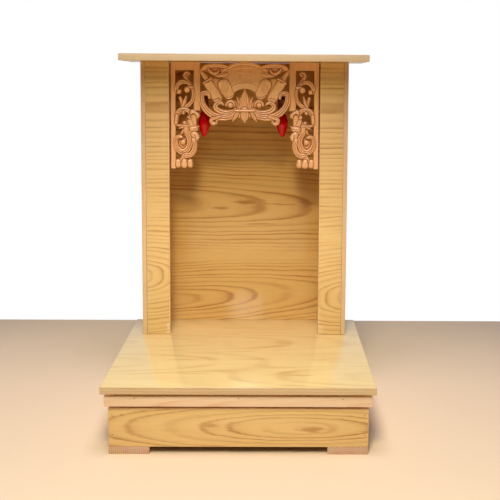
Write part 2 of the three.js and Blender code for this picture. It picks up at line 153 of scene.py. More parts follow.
def material(name):
    """A new material and its tree, with the nodes cleared."""
    made = bpy.data.materials.new(name)
    made.use_nodes = True
    made.node_tree.nodes.clear()
    return made, made.node_tree


# A growth ring: pale early wood that darkens slowly into a thin line of late wood.
RING_STOPS = ((0.0, 0.25), (0.08, 0.0), (0.4, 0.04), (0.66, 0.28), (0.84, 1.0), (0.93, 0.85), (1.0, 0.25))


def rings_group():
    """Growth rings from a running count of them: how dark the wood is, and its fine pores."""
    tree, given = group(
        "growth rings", (("Rings", "Float", 0.0), ("Grain", "Vector")),
        (("Dark", "Float"), ("Pores", "Float")))
    whole = add(tree, MATH, {0: given["Rings"]}, operation="FLOOR")
    part = add(tree, MATH, {0: given["Rings"]}, operation="FRACT")
    ramp = add(tree, "ShaderNodeValToRGB", {"Fac": part})
    stops = ramp.color_ramp.elements
    while len(stops) < len(RING_STOPS):
        stops.new(0.5)
    for stop, (place, dark) in zip(stops, RING_STOPS):
        stop.position = place
        stop.color = (dark, dark, dark, 1)
    each = add(tree, "ShaderNodeTexWhiteNoise", {"W": whole}, noise_dimensions="1D")
    strength = add(tree, MAP, {"Value": each, "To Min": 0.4, "To Max": 1.0})
    dark = add(tree, MATH, {0: ramp, 1: strength}, operation="MULTIPLY")
    pores = add(tree, NOISE, {"Vector": given["Grain"], "Scale": 1.0, "Detail": 3.0, "Roughness": 0.6})
    sharp = add(tree, MAP, {"Value": pores, "From Min": 0.5, "From Max": 0.72})
    add(tree, "NodeGroupOutput", {"Dark": dark, "Pores": sharp})
    return tree


def heart_group():
    """The count of rings out from a trunk's heart that lies just under the veneer: nested pointed loops round
    the heart, which pass into straight grain far from it. The nearest of several hearts gives the count."""
    tree, given = group("rings round a heart", (
        ("Vector", "Vector"), ("Centre", "Vector"), ("Along", "Float", 60.0), ("Ring", "Float", 8.0),
        ("Round", "Float", 12.0), ("Tilt", "Float", 0.0), ("Total", "Float", 0.0)), (("Total", "Float"),))
    away = add(tree, VECTOR, {0: given["Vector"], 1: given["Centre"]}, operation="SUBTRACT")
    x, y, _ = add(tree, SPLIT, {0: away}).outputs
    slope = add(tree, MATH, {0: x, 1: given["Tilt"]}, operation="MULTIPLY")
    level = add(tree, MATH, {0: y, 1: slope}, operation="SUBTRACT")
    pair = add(tree, JOIN, {0: level, 1: given["Round"]})
    slant = add(tree, VECTOR, {0: pair}, operation="LENGTH")
    out = add(tree, MATH, {0: slant, 1: given["Round"]}, operation="SUBTRACT")
    across = add(tree, MATH, {0: out, 1: given["Ring"]}, operation="DIVIDE")
    along = add(tree, MATH, {0: x, 1: given["Along"]}, operation="DIVIDE")
    both = add(tree, JOIN, {0: across, 1: along})
    count = add(tree, VECTOR, {0: both}, operation="LENGTH")
    least = add(tree, MATH, {0: count, 1: given["Total"], 2: 1.5}, operation="SMOOTH_MIN")
    add(tree, "NodeGroupOutput", {"Total": least})
    return tree


def patch_group():
    """A soft oval patch added to a total, such as a dark flame or a calm stretch."""
    tree, given = group("oval patch", (
        ("Vector", "Vector"), ("Centre", "Vector"), ("Reach", "Vector", (1, 1, 1)), ("Amount", "Float", 1.0),
        ("Total", "Float", 0.0)), (("Total", "Float"),))
    away = add(tree, VECTOR, {0: given["Vector"], 1: given["Centre"]}, operation="SUBTRACT")
    share = add(tree, VECTOR, {0: away, 1: given["Reach"]}, operation="DIVIDE")
    square = add(tree, VECTOR, {0: share, 1: share}, operation="DOT_PRODUCT")
    minus = add(tree, MATH, {0: square, 1: -1.0}, operation="MULTIPLY")
    hill = add(tree, MATH, {0: minus}, operation="EXPONENT")
    high = add(tree, MATH, {0: hill, 1: given["Amount"], 2: given["Total"]}, operation="MULTIPLY_ADD")
    add(tree, "NodeGroupOutput", {"Total": high})
    return tree


FAR_RINGS = 999.0  # a count that every heart is nearer than
FLAT_REACH = 10000.0  # millimetres through the board, so that a patch runs through it
# Noise stretched along the grain: cycles per millimetre along, across and through, and its detail.
DRIFTS = {
    "slow": ((0.006, 0.02, 0.01), 2.0),
    "quick": ((0.022, 0.06, 0.02), 2.0),
    "tooth": ((0.045, 0.5, 0.4), 3.0),
    "patches": ((0.007, 0.035, 0.02), 2.0),
}


def figured_wood(name, groups, look):
    """Lacquered veneer. look gives the grain's turn, hearts, wander, flames, calm stretches and three tones:
    pale and warm wood between the rings, and the dark rings."""
    made, tree = material(name)
    # After the turn, x runs along the grain, y across it and z through the board, all in millimetres.
    flat = add(tree, PLACE, {
        "Vector": add(tree, SPOT).outputs["Object"], "Rotation": look["turn"], "Scale": (1000, 1000, 1000)})
    drift = {}
    for kind, (scale, detail) in DRIFTS.items():
        placed = add(tree, PLACE, {"Vector": flat, "Scale": scale, "Location": look["seed"]})
        drift[kind] = add(tree, NOISE, {"Vector": placed, "Scale": 1.0, "Detail": detail, "Roughness": 0.5})
    wander = look["wander"]
    swing = add(tree, MATH, {0: drift["slow"], 1: wander, 2: -wander / 2}, operation="MULTIPLY_ADD")
    sway = add(tree, MATH, {0: drift["quick"], 1: wander / 4, 2: swing}, operation="MULTIPLY_ADD")
    shift = add(tree, JOIN, {1: sway})
    wavy = add(tree, VECTOR, {0: flat, 1: shift}, operation="ADD")
    count = FAR_RINGS
    for centre, along, ring, rounding, tilt in look["hearts"]:
        count = add(tree, GROUP, {
            "Vector": wavy, "Centre": (*centre, 0), "Along": along, "Ring": ring, "Round": rounding,
            "Tilt": tilt, "Total": count}, node_tree=groups["heart"])
    # Good years and lean ones: the rings' widths vary with their count.
    year = add(tree, NOISE, {"W": count, "Scale": 0.45, "Detail": 0.0}, noise_dimensions="1D")
    count = add(tree, MATH, {0: year, 1: look["years"], 2: count}, operation="MULTIPLY_ADD")
    count = add(tree, MATH, {0: drift["tooth"], 1: look["tooth"], 2: count}, operation="MULTIPLY_ADD")
    fine = add(tree, PLACE, {"Vector": flat, "Scale": (0.03, 0.9, 0.9)})
    rings = add(tree, GROUP, {"Rings": count, "Grain": fine}, node_tree=groups["rings"])
    strong = add(tree, MAP, {
        "Value": drift["patches"], "From Min": 0.3, "From Max": 0.7,
        "To Min": look["contrast"][0], "To Max": look["contrast"][1]})
    for centre, reach, amount in look.get("calm", ()):
        strong = add(tree, GROUP, {
            "Vector": flat, "Centre": (*centre, 0), "Reach": (*reach, FLAT_REACH), "Amount": -amount,
            "Total": strong}, node_tree=groups["patch"])
    kept = add(tree, MATH, {0: strong, 1: 0.04}, operation="MAXIMUM")
    line = add(tree, MATH, {0: rings.outputs["Dark"], 1: kept}, operation="MULTIPLY")
    for centre, reach, amount in look.get("flames", ()):
        flame = add(tree, GROUP, {
            "Vector": wavy, "Centre": (*centre, 0), "Reach": (*reach, FLAT_REACH), "Amount": 1.0},
            node_tree=groups["patch"])
        ragged = add(tree, MATH, {0: drift["tooth"], 1: 1.2, 2: -0.6}, operation="MULTIPLY_ADD")
        edge = add(tree, MATH, {0: flame, 1: ragged}, operation="ADD")
        shown = add(tree, MAP, {"Value": edge, "From Min": 0.35, "From Max": 0.8, "To Max": amount})
        line = add(tree, MATH, {0: shown, 1: line}, operation="MAXIMUM")
    pale, warm, dark = (paint(tone) if isinstance(tone, str) else tuple(tone) for tone in look["tones"])
    tone = add(tree, MIX, {"Factor": drift["patches"], ONE: pale, OTHER: warm}, data_type="RGBA")
    lined = add(tree, MIX, {"Factor": line, ONE: tone, OTHER: dark}, data_type="RGBA")
    speck = add(tree, MATH, {0: rings.outputs["Pores"], 1: look["pores"]}, operation="MULTIPLY")
    whole = add(tree, MIX, {"Factor": speck, ONE: lined, OTHER: dark}, data_type="RGBA")
    dent = add(tree, "ShaderNodeBump", {"Height": speck, "Strength": 0.12, "Distance": 0.0002}, invert=True)
    shader = add(tree, SHADER, {
        "Base Color": whole, "Normal": dent, "Roughness": look["roughness"], "IOR": 1.5,
        "Coat Weight": look["coat"], "Coat Roughness": 0.08})
    add(tree, SURFACE, {"Surface": shader})
    return made


UPRIGHT = (-pi / 2, 0, 0)  # the grain runs left to right on a board that faces the front
LYING = (0, 0, 0)  # the grain runs left to right on a board that lies flat
SIDEWAYS = (-pi / 2, 0, -pi / 2)  # the grain runs front to back on a board that faces a side


def wood_materials(colours):
    """Every wood of the cabinet by its short name. Lacquered veneer gives the eye bold dark loops under a
    thin shine. A heart is its centre, the length of a loop, a ring's width, the loops' rounding and the tilt;
    a flame or calm stretch is its centre, reach and amount. Lengths are in millimetres."""
    groups = {"rings": rings_group(), "heart": heart_group(), "patch": patch_group()}
    board = {
        "turn": UPRIGHT, "tones": (colours.board, "#efc47c", colours.figure),
        "wander": 10.0, "years": 0.9, "tooth": 0.22, "contrast": (0.35, 0.95), "pores": 0.16,
        "roughness": 0.2, "coat": 0.25,
    }
    edge = {  # a thin straight-grained band with little figure
        **board, "wander": 6.0, "tooth": 0.3, "contrast": (0.0, 0.5), "pores": 0.08, "roughness": 0.28,
        "hearts": (((900, 300), 900, 5, 20, 0.0),),
    }
    looks = {
        "table": ("lacquered ash veneer, tabletop", {
            **board, "turn": LYING, "seed": (3.1, 1.7, 0), "tones": ("#efd592", "#e9c881", "#b88748"),
            "contrast": (0.0, 0.5), "pores": 0.1, "roughness": 0.16, "coat": 0.5,
            "hearts": (((-330, -78), 120, 16, 16, 0.02), ((330, -150), 110, 14, 16, -0.02),
                       ((-260, 40), 150, 14, 20, 0.0)),
            "flames": (((-105, -62), (40, 3), 0.5), ((20, -55), (40, 2.5), 0.45),
                       ((150, -58), (30, 2.5), 0.45), ((95, -140), (45, 4), 0.45),
                       ((-80, -135), (40, 3), 0.35))}),
        "stile": ("lacquered ash veneer, stiles and sides", {
            **board, "seed": (7.3, 4.2, 0),
            "hearts": (((-219, 250), 22, 8.5, 8, 0.05), ((226, 207), 24, 8.5, 8, 0.05),
                       ((0, 600), 900, 9, 30, 0.0)),
            "calm": (((-200, 395), (60, 26), 0.7), ((200, 330), (60, 20), 0.6),
                     ((200, 420), (60, 16), 0.4))}),
        "side": ("lacquered ash veneer, side panels", {
            **board, "turn": SIDEWAYS, "seed": (1.3, 8.2, 0),
            "hearts": (((200, 300), 70, 9, 14, 0.04), ((-60, 520), 90, 9, 14, -0.04),
                       ((120, 60), 70, 9, 14, 0.0))}),
        "back": ("lacquered ash veneer, back", {
            **board, "seed": (5.9, 2.6, 0), "tones": ("#e9bf74", "#dfad62", "#a8672b"),
            "contrast": (0.45, 1.0),
            "hearts": (((-184, 169), 66, 7.5, 7, 0.065), ((-255, 388), 125, 8, 22, -0.02),
                       ((330, 640), 160, 12, 30, 0.0)),
            "calm": (((-20, 272), (400, 17), 0.85),),
            "flames": (((2, 390), (32, 7), 0.8), ((-55, 376), (22, 4), 0.6), ((70, 387), (50, 1.8), 0.6),
                       ((30, 342), (50, 2.5), 0.5))}),
        "front": ("lacquered ash veneer, base panel", {
            **board, "seed": (2.2, 9.4, 0), "tones": ("#eac683", "#e5ba73", "#b57e3f"), "tooth": 0.5,
            "contrast": (0.6, 1.0), "pores": 0.22,
            "hearts": (((108, 50), 57, 6.2, 6, 0.0),), "calm": (((60, 52), (70, 9), 0.8),),
            "flames": (((130, 48), (24, 7), 0.75), ((-52, 54), (22, 8), 0.6))}),
        "roof": ("lacquered ash veneer, roof", {
            **board, "turn": LYING, "seed": (6.4, 3.8, 0), "contrast": (0.1, 0.7),
            "hearts": (((-280, 60), 110, 13, 16, 0.03), ((300, 130), 120, 13, 16, -0.03))}),
        "band": ("edge band", {
            **edge, "seed": (0.4, 0.9, 0), "tones": (colours.band, "#e9c28f", "#cd985e")}),
        # Painted light: the roof's edge band is the same band as above, painted paler to stand for the light
        # that falls on the roof's front edge.
        "lit roof edge": ("roof edge band with painted light", {
            **edge, "seed": (0.7, 0.2, 0), "tones": ("#ffe9b4", "#fbe0a6", "#e2b67a")}),
        "table edge": ("lipping of the tabletop", {
            **edge, "seed": (0.1, 0.6, 0), "tones": ("#dbbd90", "#d2ae80", "#b98853"),
            "contrast": (0.3, 0.9)}),
        "pine": ("planed pine, satin lacquer", {
            **board, "seed": (4.4, 6.1, 0), "tones": (colours.pine, "#f2cea7", "#e0a574"), "wander": 5.0,
            "tooth": 0.2, "contrast": (0.1, 0.7), "pores": 0.06,
            "roughness": 0.35, "coat": 0.0, "hearts": (((230, 92), 120, 5.5, 8, 0.02),)}),
    }
    made = {short: figured_wood(name, groups, look) for short, (name, look) in looks.items()}
    made["runner"] = sawn_wood("sawn pine, unfinished", colours)
    made["carving"] = carved_wood("carved lime wood, satin lacquer", colours)
    return made


def sawn_wood(name, colours):
    """Rough sawn wood: end grain arcs on the ends, blade marks on the sides, and no shine."""
    made, tree = material(name)
    spot = add(tree, SPOT).outputs["Object"]
    flat = add(tree, PLACE, {"Vector": spot, "Scale": (1000, 12, 1000), "Location": (-192, 0, 38)})
    rings = add(tree, "ShaderNodeTexWave", {
        "Vector": flat, "Scale": 0.09, "Distortion": 3.0, "Detail": 2.0, "Detail Scale": 0.4},
        wave_type="RINGS", rings_direction="Y")
    ramp = add(tree, MAP, {"Value": rings.outputs["Fac"], "To Min": 0.0, "To Max": 0.5})
    saw = add(tree, PLACE, {"Vector": spot, "Scale": (60, 700, 60), "Rotation": (0, 0, 0.12)})
    marks = add(tree, NOISE, {"Vector": saw, "Scale": 1.0, "Detail": 4.0})
    colour = add(tree, MIX, {
        "Factor": ramp, ONE: tuple(colours.runner), OTHER: paint("#ad7c5a")}, data_type="RGBA")
    worn = add(tree, MIX, {
        "Factor": 0.5, ONE: colour, OTHER: marks.outputs["Color"]}, data_type="RGBA", blend_type="SOFT_LIGHT")
    rough = add(tree, "ShaderNodeBump", {"Height": marks, "Strength": 0.5, "Distance": 0.0006})
    shader = add(tree, SHADER, {"Base Color": worn, "Normal": rough, "Roughness": 0.75})
    add(tree, SURFACE, {"Surface": shader})
    return made


def carved_wood(name, colours):
    """Close-grained carved wood, darker in its hollows: painted shade, standing for the shade that falls in
    them, along with the lacquer that gathers there.
    """
    made, tree = material(name)
    hollow_shade = add(tree, "ShaderNodeAttribute", attribute_name="hollow_shade").outputs["Fac"]
    grain = add(tree, PLACE, {
        "Vector": add(tree, SPOT).outputs["Object"], "Scale": (420, 300, 24), "Rotation": (0, 0.05, 0)})
    streak = add(tree, NOISE, {"Vector": grain, "Scale": 1.0, "Detail": 3.0, "Roughness": 0.55})
    soft = add(tree, MAP, {"Value": streak, "From Min": 0.35, "From Max": 0.75, "To Max": 0.55})
    body = add(tree, MIX, {
        "Factor": soft, ONE: tuple(colours.carving), OTHER: paint("#f2a95e")}, data_type="RGBA")
    # Painted shade: dark brown mixed in where a point lies in a hollow, standing for the shade there, with
    # gathered lacquer.
    shaded_in_hollows = add(tree, MIX, {"Factor": hollow_shade, ONE: body, OTHER: paint("#9c4a18")}, data_type="RGBA")
    tool = add(tree, "ShaderNodeBump", {"Height": streak, "Strength": 0.12, "Distance": 0.0003})
    shader = add(tree, SHADER, {
        "Base Color": shaded_in_hollows, "Normal": tool, "Roughness": 0.3, "IOR": 1.5, "Coat Weight": 0.35,
        "Coat Roughness": 0.2})
    add(tree, SURFACE, {"Surface": shader})
    return made


def mottled(name, scale, detail, colours, surface, gloss=None):
    """A finish that drifts between two colours in soft spots, scale of them to the metre. gloss, where it is
    given, is the roughness of either."""
    made, tree = material(name)
    spots = add(tree, NOISE, {"Vector": add(tree, SPOT).outputs["Object"], "Scale": scale, "Detail": detail})
    tone = add(tree, MIX, {"Factor": spots, ONE: colours[0], OTHER: colours[1]}, data_type="RGBA")
    shader = add(tree, SHADER, {"Base Color": tone, **surface})
    if gloss:
        shine = add(tree, MAP, {"Value": spots, "To Min": gloss[0], "To Max": gloss[1]})
        tree.links.new(shine.outputs["Result"], shader.inputs["Roughness"])
    add(tree, SURFACE, {"Surface": shader})
    return made


def lamp_materials(colours):
    """The finishes of the lamps and brads by their short names."""
    return {
        # Deep colour under a hard polished skin.
        "lamp": mottled("red dipped glass", 60.0, 2.0, (tuple(colours.lamp), paint("#c40008")), {
            "Roughness": 0.22, "IOR": 1.3, "Coat Weight": 0.35, "Coat Roughness": 0.04}),
        # Faint mottling and a dull sheen.
        "holder": mottled(
            "moulded phenolic", 260.0, 3.0, (tuple(colours.holder), paint("#6b3826")), {}, (0.3, 0.5)),
        # Dulled heads, a little rusty.
        "steel": mottled("dull steel", 900.0, 2.0, (paint("#8a7a6a"), paint("#5c4330")), {
            "Roughness": 0.5, "Metallic": 0.6}),
    }


# ---- pieces --------------------------------------------------------------------------------------


def piece(name, mesh, materials, slot, *nodes):
    """Links a finished mesh as a piece that rides on the cabinet and stands for its CAD nodes."""
    for one in materials:
        if one.name not in mesh.materials:
            mesh.materials.append(one)
    made = bpy.data.objects.new(name, mesh)
    bpy.context.scene.collection.objects.link(made)
    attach(made, BODY)
    if nodes:
        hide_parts(*nodes)
    return made


ARRIS_STEPS = 3
BROAD = 0.99  # a face whose normal lies this closely along the board's thin way is a broad one
SHARP_BOARD = 40  # degrees between faces that meet in a hard edge


def rounded_board(name, low, high, arris, face_axis):
    """A board with rounded arrises. Its two broad faces take material 0, and its edges material 1."""
    bm = bmesh.new()
    bmesh.ops.create_cube(bm, size=1.0)
    size = high - low
    middle = (low + high) / 2
    for vert in bm.verts:
        vert.co = middle + Vector(vert.co[i] * size[i] for i in range(3))
    bmesh.ops.bevel(bm, geom=bm.edges[:], offset=arris, segments=ARRIS_STEPS, profile=0.5, affect="EDGES")
    for face in bm.faces:
        face.smooth = True
        face.material_index = 0 if abs(face.normal[face_axis]) > BROAD else 1
    mesh = bpy.data.meshes.new(name)
    bm.to_mesh(mesh)
    bm.free()
    mesh.set_sharp_from_angle(angle=radians(SHARP_BOARD))
    return mesh


# Each board: its node, the axis its broad faces look along, the wood of its faces and edges, and its slot.
BOARDS = (
    ("tabletop", 2, "table", "table edge", "board"),
    ("top_board", 2, "roof", "lit roof edge", "roof"),
    ("back_panel", 1, "back", "band", "back"),
    ("front_stile_right", 1, "stile", "band", "board"),
    ("front_stile_left", 1, "stile", "band", "board"),
    ("side_panel_right", 0, "side", "band", "board"),
    ("side_panel_left", 0, "side", "band", "board"),
    ("base_front_panel", 1, "front", "band", "board"),
    ("base_back_panel", 1, "front", "band", "board"),
    ("base_side_panel_right", 0, "side", "band", "board"),
    ("base_side_panel_left", 0, "side", "band", "board"),
)
STRIPS = ("front_strip", "side_strip_right", "side_strip_left")
RUNNERS = ("runner_right", "runner_left")

# ---- carving: a relief drawn flat and stood up ----------------------------------------------------


def arc(cx, cd, rx, rd, start, end, every=10):
    """Points round an ellipse; angles in degrees run from +x towards +d."""
    steps = max(3, int(abs(end - start) / every))
    angles = [radians(start + (end - start) * i / steps) for i in range(steps + 1)]
    return [(cx + rx * cos(a), cd + rd * sin(a)) for a in angles]


def bend(*points, steps=10):
    """Points on a smooth curve through a few given ones."""
    given = [np.array(p, float) for p in points]
    made = []
    for i in range(len(given) - 1):
        before, here = given[max(i - 1, 0)], given[i]
        after, beyond = given[i + 1], given[min(i + 2, len(given) - 1)]
        out, back = (after - before) / 2, (beyond - here) / 2
        for k in range(steps):
            t = k / steps
            made.append((2 * here - 2 * after + out + back) * t ** 3
                        + (3 * after - 3 * here - 2 * out - back) * t ** 2 + out * t + here)
    made.append(given[-1])
    return [tuple(p) for p in made]


FORMS = {
    "round": lambda q: np.sqrt(1 - q * q),
    "flat": lambda q: np.where(q > 0.8, np.sqrt(np.maximum(1 - ((q - 0.8) / 0.2) ** 2, 0)), 1.0),
    "full": lambda q: np.sqrt(1 - q ** 4),
}
FLUTE_WIDTH = 0.15  # of a groove along a stroke, as a share of its half width
FLUTE_FADE = 8  # a flute reaches its depth in this share of a stroke's length, 1 in 8, from either end
REACH_SPARE = 1.2  # how far past a stroke's half width it is measured
FAR_OUT = 99.0  # millimetres out of the wood where nothing is laid yet
NOT_NEAR = 9.0  # half widths away where a path isn't measured


class Relief:
    """A carving in millimetres: x across, d down from its top, h its height above its flat back."""

    def __init__(self, low, high, step, ground):
        self.step = step
        self.ground = ground  # thickness of the lowest carved ground
        across = np.arange(low[0], high[0] + step / 2, step)
        down = np.arange(low[1], high[1] + step / 2, step)
        self.x, self.d = np.meshgrid(across, down)
        self.h = np.zeros_like(self.x)
        self.outside = np.full_like(self.x, FAR_OUT)  # distance out of the wood, negative inside it

    def measure(self, path, halves):
        """How far each point is from a path, as a share of its half width there, signed by its side."""
        points = np.array(path, float)
        runs = np.hypot(*np.diff(points, axis=0).T)
        lengths = np.concatenate([[0], np.cumsum(runs)])
        widths = np.interp(lengths / lengths[-1], np.linspace(0, 1, len(halves)), halves)
        near = np.full(self.x.shape, NOT_NEAR)
        side = np.ones(self.x.shape)
        half = np.ones(self.x.shape)
        along = np.zeros(self.x.shape)
        for k in range(len(points) - 1):
            (ax, ad), (bx, bd) = points[k], points[k + 1]
            ra, rb = widths[k], widths[k + 1]
            reach = max(ra, rb) * REACH_SPARE + 2 * self.step
            i0, i1 = np.searchsorted(self.x[0], (min(ax, bx) - reach, max(ax, bx) + reach))
            j0, j1 = np.searchsorted(self.d[:, 0], (min(ad, bd) - reach, max(ad, bd) + reach))
            if i1 <= i0 or j1 <= j0 or runs[k] == 0:
                continue
            box = np.s_[j0:j1, i0:i1]
            ux, ud = (bx - ax) / runs[k], (bd - ad) / runs[k]
            dx, dd = self.x[box] - ax, self.d[box] - ad
            t = np.clip((dx * ux + dd * ud) / runs[k], 0, 1)
            r = ra + (rb - ra) * t
            q = np.hypot(dx - t * runs[k] * ux, dd - t * runs[k] * ud) / r
            closer = q < near[box]
            near[box][closer] = q[closer]
            side[box][closer] = np.sign(dx * ud - dd * ux)[closer]
            half[box][closer] = r[closer]
            along[box][closer] = ((lengths[k] + t * runs[k]) / lengths[-1])[closer]
        return near, side, half, along

    def cover(self, edge, height):
        """Lays wood of a given height over what is there, where edge, the distance outwards, is negative."""
        bare = (self.outside > 0) & (edge < self.outside)
        share = np.clip(0.5 - edge / self.step, 0, 1)
        self.h = np.where(bare, height, self.h + (height - self.h) * share)
        self.outside = np.minimum(self.outside, edge)

    def line(self, path, halves, rise, form="round", shoulder=0.12, flutes=(), flute_depth=0.3, lift=0.0):
        """A ridge along a path, with grooves along it at signed shares of its half width."""
        near, side, half, along = self.measure(path, halves)
        q = np.clip(near, 0, 1)
        profile = shoulder + (1 - shoulder) * FORMS[form](q)
        fade = np.clip(np.minimum(along, 1 - along) * FLUTE_FADE, 0, 1)
        for place in flutes:
            profile = profile - flute_depth * fade * np.exp(-((q * side - place) / FLUTE_WIDTH) ** 2)
        self.cover((near - 1) * half, self.ground + lift + rise * profile)

    def sheet(self, path, halves):
        """Plain ground along a path."""
        self.line(path, halves, 1, "flat", 1.0, lift=-1.0)

    def ball(self, x, d, radius, rise=6.6):
        """A round boss."""
        self.line([(x, d), (x + 0.05, d)], [radius, radius], rise, "round", 0.1)

    def groove(self, path, half, depth):
        """An engraved line."""
        near, _, _, _ = self.measure(path, [half, half])
        self.h = self.h - depth * np.clip(1 - near ** 2, 0, 1) ** 2

    def pierce(self, path, halves):
        """An opening along a path."""
        near, _, half, _ = self.measure(path, halves)
        self.outside = np.maximum(self.outside, -(near - 1) * half)

    def mirrored(self):
        """The relief with its mirror image added across x = 0."""
        whole = Relief.__new__(Relief)
        whole.step, whole.ground = self.step, self.ground
        keep = self.x[0] > self.step / 2
        for name in ("x", "d", "h", "outside"):
            half = getattr(self, name)
            other = half[:, keep][:, ::-1]
            setattr(whole, name, np.concatenate([-other if name == "x" else other, half], axis=1))
        return whole


BACK_BLOCK = 5  # cells of the flat back that are joined each way into one face
NARROWEST = 0.08  # an outline point keeps this share of a cell away from a corner
SHARP_CARVING = 55  # degrees between faces that meet in a hard edge
# Painted shade in the carving's hollows: how far round a point the wood is looked at, and how strongly its
# depth below that wood darkens it.
HOLLOW_SHADE_REACH = 2.4  # a point is in a hollow if it lies lower than the wood this far round it
HOLLOW_SHADE_STRENGTH = 0.55


def relief_mesh(name, relief, start, sense, back):
    """A closed mesh of a relief under the roof: the carved face, walls square to it and a flat back. Its
    x = 0 stands at start, and its x grows to the right where sense is 1 and to the left where it is -1."""
    inside = relief.outside < 0
    inside[[0, -1]] = False
    inside[:, [0, -1]] = False
    inner = int(inside.sum())
    index = np.full(inside.shape, -1)
    index[inside] = np.arange(inner)
    crossings, extra = {}, []

    def quads(cells):
        j, i = np.nonzero(cells)
        return np.stack([index[j, i], index[j + 1, i], index[j + 1, i + 1], index[j, i + 1]], axis=1).tolist()

    def crossing(a, b):
        """The outline's point between two neighbouring grid points, one in the wood and one out of it."""
        key = (a, b) if a < b else (b, a)
        if key not in crossings:
            t = relief.outside[a] / (relief.outside[a] - relief.outside[b])
            t = min(max(t, NARROWEST), 1 - NARROWEST)
            pa, pb = (np.array([relief.x[p], relief.d[p], relief.h[p]]) for p in (a, b))
            middle = pa + (pb - pa) * t
            middle[2] = pa[2] if inside[a] else pb[2]
            crossings[key] = inner + len(extra)
            extra.append(middle)
        return crossings[key]

    full = inside[:-1, :-1] & inside[1:, :-1] & inside[1:, 1:] & inside[:-1, 1:]
    touched = inside[:-1, :-1] | inside[1:, :-1] | inside[1:, 1:] | inside[:-1, 1:]
    rim_faces, outline = [], []
    for j, i in np.argwhere(touched & ~full).tolist():
        corners = [(j, i), (j + 1, i), (j + 1, i + 1), (j, i + 1)]
        face = []
        for corner, after in zip(corners, corners[1:] + corners[:1]):
            if inside[corner]:
                face.append((int(index[corner]), False))
            if inside[corner] != inside[after]:
                face.append((crossing(corner, after), bool(inside[corner])))
        for (vertex, leaving), (following, _) in zip(face, face[1:] + face[:1]):
            if leaving:
                outline.append((vertex, following))
        rim_faces.append([vertex for vertex, _ in face])
    carved = np.stack([relief.x[inside], relief.d[inside], relief.h[inside]], axis=1)
    top = np.concatenate([carved, np.array(extra)])
    back_faces, spare = list(rim_faces), full.copy()
    k = BACK_BLOCK
    for j in range(0, inside.shape[0] - 1 - k, k):
        for i in range(0, inside.shape[1] - 1 - k, k):
            if full[j:j + k, i:i + k].all():
                spare[j:j + k, i:i + k] = False
                ring = [index[j + n, i] for n in range(k)] + [index[j + k, i + n] for n in range(k)]
                ring += [index[j + k - n, i + k] for n in range(k)] + [index[j, i + k - n] for n in range(k)]
                back_faces.append([int(v) for v in ring])
    back_faces += quads(spare)
    used = sorted({vertex for face in back_faces for vertex in face})
    below = {vertex: len(top) + n for n, vertex in enumerate(used)}
    bottom = top[used].copy()
    bottom[:, 2] = 0
    faces = quads(full) + rim_faces
    faces += [[below[v] for v in reversed(face)] for face in back_faces]
    faces += [[b, a, below[a], below[b]] for a, b in outline]
    if sense < 0:
        faces = [face[::-1] for face in faces]
    x, d, h = np.concatenate([top, bottom]).T
    spots = np.stack([start + sense * x * MM, back - h * MM, ROOF_LOW.z - d * MM], axis=1)
    mesh = bpy.data.meshes.new(name)
    mesh.from_pydata(spots.tolist(), [], faces)
    mesh.update()
    mesh.shade_smooth()
    mesh.set_sharp_from_angle(angle=radians(SHARP_CARVING))
    # Painted shade: each point is darkened by how far it lies below the mean height of the wood round it,
    # standing for the shade in the hollows, with the lacquer that gathers there.
    around = blur(np.where(inside, relief.h, 0), inside, int(round(HOLLOW_SHADE_REACH / relief.step)))
    hollow_shade = np.zeros(len(spots), np.float32)
    hollow_shade[:inner] = np.clip((around - relief.h) * HOLLOW_SHADE_STRENGTH, 0, 1)[inside]
    mesh.attributes.new("hollow_shade", "FLOAT", "POINT").data.foreach_set("value", hollow_shade)
    return mesh


def blur(values, mask, reach):
    """The mean of the masked values in a square round each point."""
    def box(array):
        total = np.pad(array, ((reach + 1, reach), (reach + 1, reach)), mode="constant").cumsum(0).cumsum(1)
        size = 2 * reach + 1
        return total[size:, size:] - total[:-size, size:] - total[size:, :-size] + total[:-size, :-size]
    weight = box(mask.astype(float))
    return box(values * mask) / np.maximum(weight, 1)


GROUND = 5.0
CARVING_TOP_GAP = 1.0
CROWN_RADIUS = 76.0
CROWN_HALF = 47.0
ARCH_D, ARCH_INNER, ARCH_OUTER, ARCH_HALF = 87.0, 32.2, 43.5, 24.0
BANNER_FOOT = 66.0
PLATE_RISE, BAND_RISE = 1.8, 3.2
RIM_INSET, RIM_HALF, RIM_DEPTH = 6.2, 1.0, 1.1  # the groove inside the crown's edge
STIPPLE_DEPTH, STIPPLE_TURN = 0.35, 2.4  # the arch band's fine chequer


def oval(x, d, half_across, half_down, lean):
    """Points round an oval whose long axis leans outwards by some degrees."""
    turn = radians(lean)
    return [(x + u * cos(turn) + v * sin(turn), d - u * sin(turn) + v * cos(turn))
            for u, v in arc(0, 0, half_across, half_down, 0, 360)]


ROLL_OVALS = ((1.4, 2.6), (3.8, 6.0), (6.6, 9.8))  # engraved on the end of the roll, half sizes
STROKE_ROWS = ((13, (8,)), (22, (0, 9)), (31, (8,)))  # plain strokes in place of an inscription
STROKE_REACH, STROKE_HALF, STROKE_LIFT = 3.2, 0.9, 1.6


